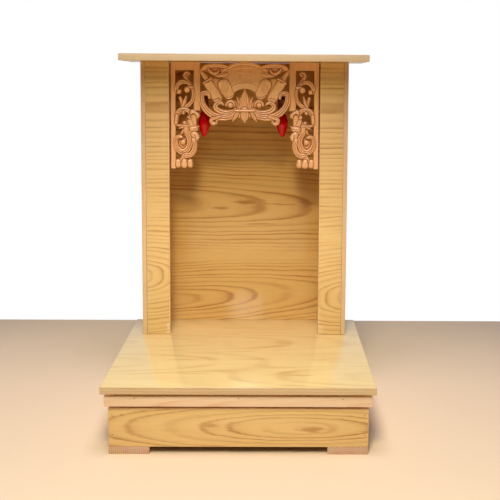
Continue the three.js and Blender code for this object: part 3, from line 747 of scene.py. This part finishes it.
def valance_relief(step):
    """Half of the valance, x outwards from its middle, with every stroke over the ones before it."""
    w = Relief((0, -2), (98, 131), step, GROUND)
    line, sheet = w.line, w.sheet
    sheet([(82, 17), (66, 15), (44, 17)], [8.5, 10.5, 12])
    sheet([(70, 42), (52, 46), (50, 62)], [8, 10, 10])
    crown = np.hypot(w.x, w.d - CARVING_TOP_GAP - CROWN_RADIUS) - CROWN_RADIUS
    arch = np.hypot(w.x, w.d - ARCH_D)
    below = w.d - BANNER_FOOT
    plate = np.maximum.reduce([crown, w.x - CROWN_HALF, ARCH_INNER - arch, below])
    w.cover(plate, GROUND + PLATE_RISE - RIM_DEPTH * np.exp(-((crown + RIM_INSET) / RIM_HALF) ** 2))
    band = np.maximum.reduce([ARCH_INNER - arch, arch - ARCH_OUTER, w.x - ARCH_HALF - 2, below])
    stipple = STIPPLE_DEPTH * np.sin(w.x * STIPPLE_TURN) * np.sin(arch * STIPPLE_TURN)
    w.cover(band, GROUND + BAND_RISE + stipple)
    for d, places in STROKE_ROWS:
        for x in places:
            line([(max(x - STROKE_REACH, 0), d), (x + STROKE_REACH, d)], [STROKE_HALF] * 2, 1.0, "round", 0.2,
                 lift=STROKE_LIFT)
    # ribbon
    line(bend((88, 19.5), (81, 12), (68, 8), (56, 7.5), (44, 9), (33, 11)), [3.4, 5, 4.6, 4.4, 4, 1.2], 5.2,
         flutes=(0.25,))
    line(bend((75, 13), (70, 20), (62.5, 24.5), (55, 22), (52, 16)), [1.8, 3.2, 3.6, 3.2, 1.6], 5.4)
    line(bend((36, 25), (47, 27), (54, 29), (61, 28)), [3, 4.6, 3.6, 1.2], 4.6, flutes=(0.0,))
    # tube, finger and collar
    line([(75.5, 42), (56, 75)], [9.4, 10], 6.4, "round", 0.1)
    w.groove(oval(67.5, 56, 2.2, 4.6, 30), 0.6, 0.7)
    line([(53.5, 76.5), (60, 80)], [3, 3], 6)
    line([(86, 23), (76.5, 37)], [4.4, 5.4], 5.4)
    line([(84, 44), (76, 38.5), (66, 33)], [2, 3, 2], 6.6)
    # roll
    line([(42.5, 47), (33, 65.5)], [11.8, 10.8], 4.8, "flat", 0.5)
    for half_across, half_down in ROLL_OVALS:
        w.groove(oval(40.2, 52.7, half_across, half_down, 20), 0.75, 1.0)
    line(arc(32.8, 65, 9.6, 9.6, 150, 20), [1.4, 1.8, 1.4], 5.6)
    w.pierce(bend((85.5, 18.5), (73, 26), (63, 32), (46, 35)), [1.2, 3.2, 2.4, 1.6])
    # scrolls
    line(arc(51, 92, 8.6, 8.6, -145, 25) + arc(38, 91.5, 21, 12, 32, 155), [2, 3.8, 5, 5, 4.6, 4, 2.6], 5.4,
         "full", flutes=(-0.1,), flute_depth=0.45)
    line(arc(44, 72, 44.5, 42, 127, 8) + arc(80, 72, 8.5, 8.5, 0, -190),
         [4.8, 6.2, 6.6, 6.6, 6.4, 5.8, 5, 3], 6.8, "full", flutes=(-0.3, 0.4), flute_depth=0.4)
    line(arc(29, 88.6, 8.2, 8.2, -190, -5), [1.8, 2.8, 3, 2.8], 5)
    w.ball(29, 88.6, 5.4, 7)
    line([(50, 112)] + arc(62.5, 120.8, 5.8, 5.8, -95, 185), [3.4, 4.2, 4.2, 3.8, 1.6], 5.6, flutes=(0.1,))
    # palmette
    sheet([(0, 98), (0, 82)], [16, 13.4])
    for foot, mid, tip, wide in (
            ((13, 99), (14.5, 88), (21, 80), 3.2), ((10, 99), (11.5, 84), (16.5, 71.5), 4.0),
            ((6, 99), (7.4, 84), (9.6, 72), 3.6)):
        line(bend(foot, mid, tip), [2.6, wide, 0.7], 5.4, flutes=(0.0,))
    line(bend((0, 99), (0, 82), (0, 72.6), (0, 63), (0, 56)), [4.4, 5.4, 8.9, 5, 0.5], 6.2, "round", 0.2,
         flutes=(-0.45, 0.0, 0.45))
    line(bend((12.5, 101), (18.5, 111), (24.8, 121.5)), [3.4, 5, 0.6], 5.4, flutes=(0.0,))
    line(bend((5, 101), (9, 108), (12, 114)), [3, 4, 0.6], 4.6)
    line([(0, 100), (0, 106), (0, 113), (0, 124)], [8.8, 9, 7.4, 0.6], 6, flutes=(-0.35, 0.0, 0.35))
    line([(0, 99.2), (19.5, 99.2)], [2.9, 2.7], 7.2)
    return w.mirrored()


BRACKET_GROUND = 4.0
FRAME_THICK = 8.0
BRACKET_WIDTH = 60.0
BRACKET_DROP = 219.6
BRACKET_STILE, BRACKET_RAIL = 9.0, 17.8
INNER_STILE, INNER_DROP = 13.0, 99.6


def bracket_relief(step):
    """One bracket, x inwards from its outer edge."""
    w = Relief((-2, -2), (64, 222), step, BRACKET_GROUND)
    line, sheet, ball = w.line, w.sheet, w.ball
    ends = np.maximum.reduce([-w.x, w.x - BRACKET_WIDTH, CARVING_TOP_GAP - w.d, w.d - BRACKET_DROP])
    stile = w.x - BRACKET_STILE
    rail = w.d - BRACKET_RAIL
    inner = np.maximum(BRACKET_WIDTH - INNER_STILE - w.x, w.d - INNER_DROP)
    sheet([(26, 170), (24, 178)], [13, 13])
    sheet([(41, 160), (38, 184), (26, 194)], [7, 8, 6])
    sheet([(40, 118), (46, 150)], [8, 9])
    w.cover(np.maximum(ends, np.minimum.reduce([stile, rail, inner])), FRAME_THICK)
    # vine in the window
    line(arc(33, 28, 5, 4.8, -40, -190) + arc(22, 66, 24.5, 28, -50, 55) + [(24, 95.5), (10, 112)],
         [3, 3.8, 3.4, 3.4, 3.8, 4.2, 4.4, 4.2], 6.8, "full", flutes=(0.1,))
    ball(34, 28, 3.2)
    line(arc(26, 56, 15, 15, -35, -205), [2.4, 4.2, 5, 4.6, 3.8], 6.4, "full", flutes=(0.1,))
    ball(16.5, 61.5, 5.2)
    line([(45, 53), (36, 52)], [3.2, 3.2], 5.4)
    ball(33, 57.5, 6.4)
    line(bend((19, 74.5), (21.5, 83), (23.5, 94)), [3.6, 3.2, 3.8], 5.6)
    line(bend((31, 71), (28.5, 80), (24, 91)), [1.4, 4, 3.8], 5.8)
    # leaves at the middle
    line(arc(26, 110, 14, 12.5, 25, -180), [3, 4.2, 4.6, 4.4, 3.8], 6.4, "full", flutes=(0.1,))
    ball(25, 104.5, 4.2)
    line([(12, 110), (10, 126)], [4, 4], 5.4)
    line([(36, 113)] + arc(22, 118, 17, 14, -10, 110) + [(10, 130)], [3.2, 4.4, 4.8, 4, 1], 6.6,
         flutes=(0.1,))
    ball(27, 125, 3.8)
    line([(44, 104), (53, 110)], [6.4, 6.2], 6)
    line([(46, 112), (46, 134)], [6, 6], 3)
    line(bend((38, 122), (42, 135), (35, 148)), [4.8, 5.6, 5], 5)
    line([(56, 132.5), (51, 137.5), (43, 138)], [1.8, 5.4, 6.2], 6.6, flutes=(0.1,))
    line([(47, 149), (51, 155), (46, 163)], [7.2, 7.8, 5.6], 6.6, flutes=(0.0,))
    line(bend((32, 132), (24, 133), (15.5, 137.5)), [4.6, 4, 0.8], 5.6, flutes=(0.0,))
    line(bend((33, 138), (26, 142), (19.5, 149)), [4.6, 4, 0.8], 5.6, flutes=(0.0,))
    # lower scroll
    line([(30, 136)] + arc(23.5, 165, 14.6, 20.5, -55, 180) + arc(17, 163, 8.4, 9.6, 200, 300),
         [4.2, 5.2, 5.8, 6, 6, 5.8, 5.2, 4.2, 3], 7, "full", flutes=(-0.25, 0.35), flute_depth=0.35)
    ball(24.3, 165.5, 5.4)
    line([(46, 160)] + arc(33, 172, 15.5, 21, -10, 110) + [(20, 206)], [4.8, 5.2, 5.6, 5.4, 4.6], 6.2,
         "full", flutes=(-0.2, 0.4), flute_depth=0.35)
    # foot of three lobes
    for x, half in ((14, 6.4), (38.6, 6.4), (26.4, 7.4)):
        line([(x, 205), (x, 212.4)], [half * 0.8, half], 7)
    return w


# ---- geometry-node trees -------------------------------------------------------------------------


def modifier_mesh(name, tree, values):
    """Runs a geometry-node tree with named inputs and returns its result as a plain mesh."""
    carrier = bpy.data.objects.new(name, bpy.data.meshes.new(name))
    bpy.context.scene.collection.objects.link(carrier)
    modifier = carrier.modifiers.new("form", "NODES")
    modifier.node_group = tree
    sockets = {item.name: item.identifier for item in tree.interface.items_tree if item.in_out == "INPUT"}
    for label, value in values.items():
        modifier[sockets[label]] = value
    bpy.context.view_layer.update()
    shaped = carrier.evaluated_get(bpy.context.evaluated_depsgraph_get())
    mesh = bpy.data.meshes.new_from_object(shaped)
    carrier.modifiers.clear()
    bpy.data.objects.remove(carrier)
    mesh.name = name
    return mesh


def brad_tree():
    """A row of small round heads between two points, each a little out of line."""
    tree, given = group("row of brads", (
        ("Start", "Vector"), ("End", "Vector"), ("Count", "Int", 3), ("Radius", "Float", 0.0009),
        ("Proud", "Float", 0.0003), ("Wander", "Float", 0.001), ("Seed", "Int", 4), ("Steel", "Material"),
    ), (("Geometry", "Geometry"),), "GeometryNodeTree")
    row = add(tree, "GeometryNodeMeshLine", {
        "Count": given["Count"], "Start Location": given["Start"], "Offset": given["End"]}, mode="END_POINTS")
    stray = add(tree, "FunctionNodeRandomValue", {
        "Min": (-1, 0, -1), "Max": (1, 0, 1), "Seed": given["Seed"]}, data_type="FLOAT_VECTOR")
    shift = add(tree, VECTOR, {0: stray, "Scale": given["Wander"]}, operation="SCALE")
    moved = add(tree, "GeometryNodeSetPosition", {"Geometry": row, "Offset": shift})
    head = add(tree, "GeometryNodeMeshCylinder", {
        "Vertices": 14, "Radius": given["Radius"], "Depth": given["Proud"]})
    faced = add(tree, "GeometryNodeTransform", {"Geometry": head, "Rotation": (pi / 2, 0, 0)})
    placed = add(tree, "GeometryNodeInstanceOnPoints", {"Points": moved, "Instance": faced})
    real = add(tree, "GeometryNodeRealizeInstances", {"Geometry": placed})
    painted = add(tree, "GeometryNodeSetMaterial", {"Geometry": real, "Material": given["Steel"]})
    add(tree, "NodeGroupOutput", {"Geometry": painted})
    return tree


# A turned profile: its half width as a share of the widest, at shares of its height from the tip.
BULB_PROFILE = ((0.0, 0.0), (0.022, 0.25), (0.13, 0.5), (0.28, 0.745), (0.426, 0.93), (0.556, 1.0),
                (0.685, 0.945), (0.815, 0.775), (0.926, 0.575), (1.0, 0.51))


def turned_tree(name, profile, sides, rings):
    """A turned form: a cylinder whose half width follows a profile from its tip up to its foot."""
    tree, given = group(name, (
        ("Length", "Float", 0.05), ("Radius", "Float", 0.01), ("Foot", "Vector"), ("Lean", "Float", 0.0),
        ("Finish", "Material"),
    ), (("Geometry", "Geometry"),), "GeometryNodeTree")
    tube = add(tree, "GeometryNodeMeshCylinder", {
        "Vertices": sides, "Side Segments": rings, "Radius": 1.0, "Depth": 1.0}, fill_type="NGON")
    x, y, z = add(tree, SPLIT, {0: add(tree, "GeometryNodeInputPosition")}).outputs
    share = add(tree, MATH, {0: z, 1: 0.5}, operation="ADD")
    curve = add(tree, "ShaderNodeFloatCurve", {"Value": share})
    points = curve.mapping.curves[0].points
    while len(points) < len(profile):
        points.new(0.5, 0.5)
    for point, spot in zip(points, profile):
        point.location = spot
    curve.mapping.update()
    wide = add(tree, MATH, {0: curve, 1: given["Radius"]}, operation="MULTIPLY")
    across = [add(tree, MATH, {0: way, 1: wide}, operation="MULTIPLY") for way in (x, y)]
    below = add(tree, MATH, {0: share, 1: 1.0}, operation="SUBTRACT")
    drop = add(tree, MATH, {0: below, 1: given["Length"]}, operation="MULTIPLY")
    spot = add(tree, JOIN, {0: across[0], 1: across[1], 2: drop})
    shaped = add(tree, "GeometryNodeSetPosition", {"Geometry": tube, "Position": spot})
    turn = add(tree, JOIN, {1: given["Lean"]})
    leant = add(tree, "GeometryNodeTransform", {
        "Geometry": shaped, "Translation": given["Foot"], "Rotation": turn})
    smooth = add(tree, "GeometryNodeSetShadeSmooth", {"Geometry": leant})
    real = add(tree, "GeometryNodeRealizeInstances", {"Geometry": smooth})
    painted = add(tree, "GeometryNodeSetMaterial", {"Geometry": real, "Material": given["Finish"]})
    add(tree, "NodeGroupOutput", {"Geometry": painted})
    return tree


# ---- operators -----------------------------------------------------------------------------------

finishes = {}  # filled by the first operator: every material of the cabinet by its short name


class ALTAR_OT_finishes(bpy.types.Operator):
    """Make the cabinet's materials"""

    bl_idname = "altar.finishes"
    bl_label = "Finishes"

    def execute(self, context):
        colours = context.scene.altar_colours
        finishes.update(wood_materials(colours))
        finishes.update(lamp_materials(colours))
        return {"FINISHED"}


class ALTAR_OT_boards(bpy.types.Operator):
    """Make the veneered boards of the base, niche and roof"""

    bl_idname = "altar.boards"
    bl_label = "Boards"

    def execute(self, context):
        arris = context.scene.altar_sizes.arris
        for node, axis, wood, edge, slot in BOARDS:
            mesh = rounded_board(node + "_finished", *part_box(node), arris, axis)
            piece(node + "_finished", mesh, (finishes[wood], finishes[edge]), slot, node)
        return {"FINISHED"}


class ALTAR_OT_strips(bpy.types.Operator):
    """Make the pine strips and the sawn runners"""

    bl_idname = "altar.strips"
    bl_label = "Strips and runners"

    def execute(self, context):
        arris = context.scene.altar_sizes.arris
        for nodes, ending, wood in ((STRIPS, "_planed", "pine"), (RUNNERS, "_sawn", "runner")):
            for node in nodes:
                mesh = rounded_board(node + ending, *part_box(node), arris, 1)
                piece(node + ending, mesh, (finishes[wood], finishes[wood]), wood, node)
        return {"FINISHED"}


class ALTAR_OT_valance(bpy.types.Operator):
    """Carve the valance"""

    bl_idname = "altar.valance"
    bl_label = "Valance"

    def execute(self, context):
        relief = valance_relief(context.scene.altar_sizes.valance_step / MM)
        mesh = relief_mesh("valance_carving", relief, 0, 1, VALANCE_HIGH.y)
        piece("valance_carving", mesh, (finishes["carving"],), "carving", "carved_valance")
        return {"FINISHED"}


class ALTAR_OT_brackets(bpy.types.Operator):
    """Carve the two brackets"""

    bl_idname = "altar.brackets"
    bl_label = "Brackets"

    def execute(self, context):
        relief = bracket_relief(context.scene.altar_sizes.bracket_step / MM)
        for side, sign in SIDES:
            name = f"bracket_carving_{side}"
            mesh = relief_mesh(name, relief, sign * BRACKET_HIGH.x, -sign, BRACKET_HIGH.y)
            piece(name, mesh, (finishes["carving"],), "carving", f"carved_bracket_{side}")
        return {"FINISHED"}


LAMP_LENGTH = 0.054
LAMP_RADIUS = 0.0129
LAMP_SINK = 0.0002  # the glass starts this far below its solid's top
LAMP_SIDES, LAMP_RINGS = 48, 60
LEANS = {"left": 1.0, "right": -3.0}  # degrees


class ALTAR_OT_lamps(bpy.types.Operator):
    """Make the red glass lamps and finish their sockets"""

    bl_idname = "altar.lamps"
    bl_label = "Lamps"

    def execute(self, context):
        bulb = turned_tree("pointed bulb", BULB_PROFILE, LAMP_SIDES, LAMP_RINGS)
        for side, _ in SIDES:
            low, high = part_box(f"lamp_{side}")
            foot = Vector(((low.x + high.x) / 2, (low.y + high.y) / 2, high.z - LAMP_SINK))
            mesh = modifier_mesh(f"lamp_glass_{side}", bulb, {
                "Length": LAMP_LENGTH, "Radius": LAMP_RADIUS, "Foot": foot, "Lean": radians(LEANS[side]),
                "Finish": finishes["lamp"]})
            piece(f"lamp_glass_{side}", mesh, (), "lamp", f"lamp_{side}")
            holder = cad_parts[f"lamp_holder_{side}"]
            holder.data.materials.clear()
            holder.data.materials.append(finishes["holder"])
        return {"FINISHED"}


STRIP_BRADS = 3
STRIP_BRAD_INSET, STRIP_BRAD_DROP = 0.052, 0.0035  # from the strip's ends and from its top
PANEL_BRADS = 2
PANEL_BRAD_INSET, PANEL_BRAD_DROP, PANEL_BRAD_LIFT = 0.0065, 0.013, 0.022  # from its ends, top and foot


class ALTAR_OT_brads(bpy.types.Operator):
    """Set the brads in the strip and the base panel"""

    bl_idname = "altar.brads"
    bl_label = "Brads"

    def execute(self, context):
        tree = brad_tree()
        end, z = STRIP_HIGH.x - STRIP_BRAD_INSET, STRIP_HIGH.z - STRIP_BRAD_DROP
        rows = [("strip_brads", (-end, STRIP_LOW.y, z), (end, STRIP_LOW.y, z), STRIP_BRADS, 1)]
        for side, sign in SIDES:
            x = sign * (PANEL_HIGH.x - PANEL_BRAD_INSET)
            rows.append((f"panel_brads_{side}", (x, PANEL_LOW.y, PANEL_LOW.z + PANEL_BRAD_LIFT),
                         (x, PANEL_LOW.y, PANEL_HIGH.z - PANEL_BRAD_DROP), PANEL_BRADS, 2 + sign))
        for name, start, end, count, seed in rows:
            mesh = modifier_mesh(name, tree, {
                "Start": Vector(start), "End": Vector(end), "Count": count, "Seed": seed,
                "Radius": context.scene.altar_sizes.brad, "Steel": finishes["steel"]})
            piece(name, mesh, (), "board")
        return {"FINISHED"}


# The camera, fitted to the cabinet's edges, in the frame's metres and radians.
CAMERA_SPOT = (0.0536, -1.5398, 0.6534)
CAMERA_PITCH = 0.0985
CAMERA_YAW = 0.0093
CAMERA_ROLL = 0.0066
CAMERA_LENS = 57.6
CAMERA_SHIFT = (-0.0561, -0.1799)
FLOOR_HALF = 4.0
FLOOR_BACK = 0.6  # behind the cabinet's middle
CONE = {"spot_size": radians(70), "spot_blend": 0.34, "shadow_soft_size": 0.22}
# Each light: its kind, place, degrees turned down from level towards the back, power, colour and settings.
LIGHTS = {
    "key": ("SPOT", (-0.06, -1.25, 1.75), 73.0, 92, (1.0, 0.86, 0.62), CONE),
    "front_key": ("SPOT", (-0.06, -1.6, 1.5), 63.0, 48, (0.7, 0.98, 1.0), CONE),
    "steep_light": ("AREA", (0, -0.45, 1.9), 75.964, 20, (0.75, 0.7, 1.0), {"size": 0.7}),
}


def show(name, data):
    """Links a new object that holds the data."""
    made = bpy.data.objects.new(name, data)
    bpy.context.scene.collection.objects.link(made)
    return made


def set_floor(colour):
    """The pale painted floor."""
    mesh = bpy.data.meshes.new("studio_floor")
    corners = ((-FLOOR_HALF, -FLOOR_HALF), (FLOOR_HALF, -FLOOR_HALF), (FLOOR_HALF, FLOOR_BACK),
               (-FLOOR_HALF, FLOOR_BACK))
    mesh.from_pydata([(x, y, 0) for x, y in corners], [], [(0, 1, 2, 3)])
    floor = show("studio_floor", mesh)
    made, tree = material("painted studio floor")
    shader = add(tree, SHADER, {"Base Color": tuple(colour), "Roughness": 0.6})
    add(tree, SURFACE, {"Surface": shader})
    floor.data.materials.append(made)


def set_world():
    """A white wall to the camera, and to everything else a soft light from behind alone."""
    world = bpy.data.worlds.new("studio")
    world.use_nodes = True
    tree = world.node_tree
    tree.nodes.clear()
    _, y, _ = add(tree, SPLIT, {0: add(tree, SPOT).outputs["Generated"]}).outputs
    strength = add(tree, MAP, {
        "Value": y, "From Min": 0.1, "From Max": 0.6, "To Min": 0.0, "To Max": 0.52},
        interpolation_type="SMOOTHSTEP")
    sky = add(tree, "ShaderNodeBackground", {"Color": (1, 1, 1, 1), "Strength": strength})
    wall = add(tree, "ShaderNodeBackground", {"Color": (1, 1, 1, 1), "Strength": 1.0})
    seen = add(tree, "ShaderNodeLightPath").outputs["Is Camera Ray"]
    both = add(tree, "ShaderNodeMixShader", {0: seen, 1: sky, 2: wall})
    add(tree, "ShaderNodeOutputWorld", {"Surface": both})
    return world


def set_camera():
    """The camera, turned by its yaw, pitch and roll."""
    level = Vector((cos(CAMERA_YAW), -sin(CAMERA_YAW), 0))
    forward = Vector((sin(CAMERA_YAW), cos(CAMERA_YAW), 0)) * cos(CAMERA_PITCH)
    forward.z = -sin(CAMERA_PITCH)
    above = level.cross(forward)
    right = level * cos(CAMERA_ROLL) + above * sin(CAMERA_ROLL)
    up = above * cos(CAMERA_ROLL) - level * sin(CAMERA_ROLL)
    lens = bpy.data.cameras.new("camera")
    lens.lens = CAMERA_LENS
    lens.shift_x, lens.shift_y = CAMERA_SHIFT
    camera = show("camera", lens)
    turn = Matrix((right, up, -forward)).transposed().to_4x4()
    camera.matrix_world = Matrix.Translation(CAMERA_SPOT) @ turn
    return camera


class ALTAR_OT_stage(bpy.types.Operator):
    """Make the pale floor, the soft light and the camera"""

    bl_idname = "altar.stage"
    bl_label = "Stage"

    def execute(self, context):
        scene = context.scene
        set_floor(scene.altar_colours.floor)
        for name, (kind, spot, down, power, colour, settings) in LIGHTS.items():
            lamp = bpy.data.lights.new(name, kind)
            for setting, value in {"energy": power, "color": colour, **settings}.items():
                setattr(lamp, setting, value)
            made = show(name, lamp)
            made.location = spot
            made.rotation_euler = (radians(90 - down), 0, 0)
        scene.world = set_world()
        scene.view_settings.view_transform = "Standard"
        scene.camera = set_camera()
        return {"FINISHED"}


OPERATORS = (
    ALTAR_OT_finishes, ALTAR_OT_boards, ALTAR_OT_strips, ALTAR_OT_valance, ALTAR_OT_brackets, ALTAR_OT_lamps,
    ALTAR_OT_brads, ALTAR_OT_stage,
)


class ALTAR_PT_panel(bpy.types.Panel):
    """Lists the cabinet's operators in the 3D view's sidebar."""

    bl_label = "Altar cabinet"
    bl_space_type = "VIEW_3D"
    bl_region_type = "UI"
    bl_category = "Altar"

    def draw(self, context):
        for operator in OPERATORS:
            self.layout.operator(operator.bl_idname)
        for settings in (context.scene.altar_sizes, context.scene.altar_colours):
            for name in settings.__annotations__:
                self.layout.prop(settings, name)


CLASSES = (AltarSizes, AltarColours, *OPERATORS, ALTAR_PT_panel)


def register():
    """Registers the classes and their settings."""
    for one in CLASSES:
        bpy.utils.register_class(one)
    bpy.types.Scene.altar_sizes = PointerProperty(type=AltarSizes)
    bpy.types.Scene.altar_colours = PointerProperty(type=AltarColours)


def unregister():
    """Takes the classes and their settings away."""
    del bpy.types.Scene.altar_colours
    del bpy.types.Scene.altar_sizes
    for one in reversed(CLASSES):
        bpy.utils.unregister_class(one)


def main():
    """Makes the whole cabinet and its studio."""
    register()
    for operator in OPERATORS:
        area, name = operator.bl_idname.split(".")
        getattr(getattr(bpy.ops, area), name)()


if __name__ == "__main__":
    main()
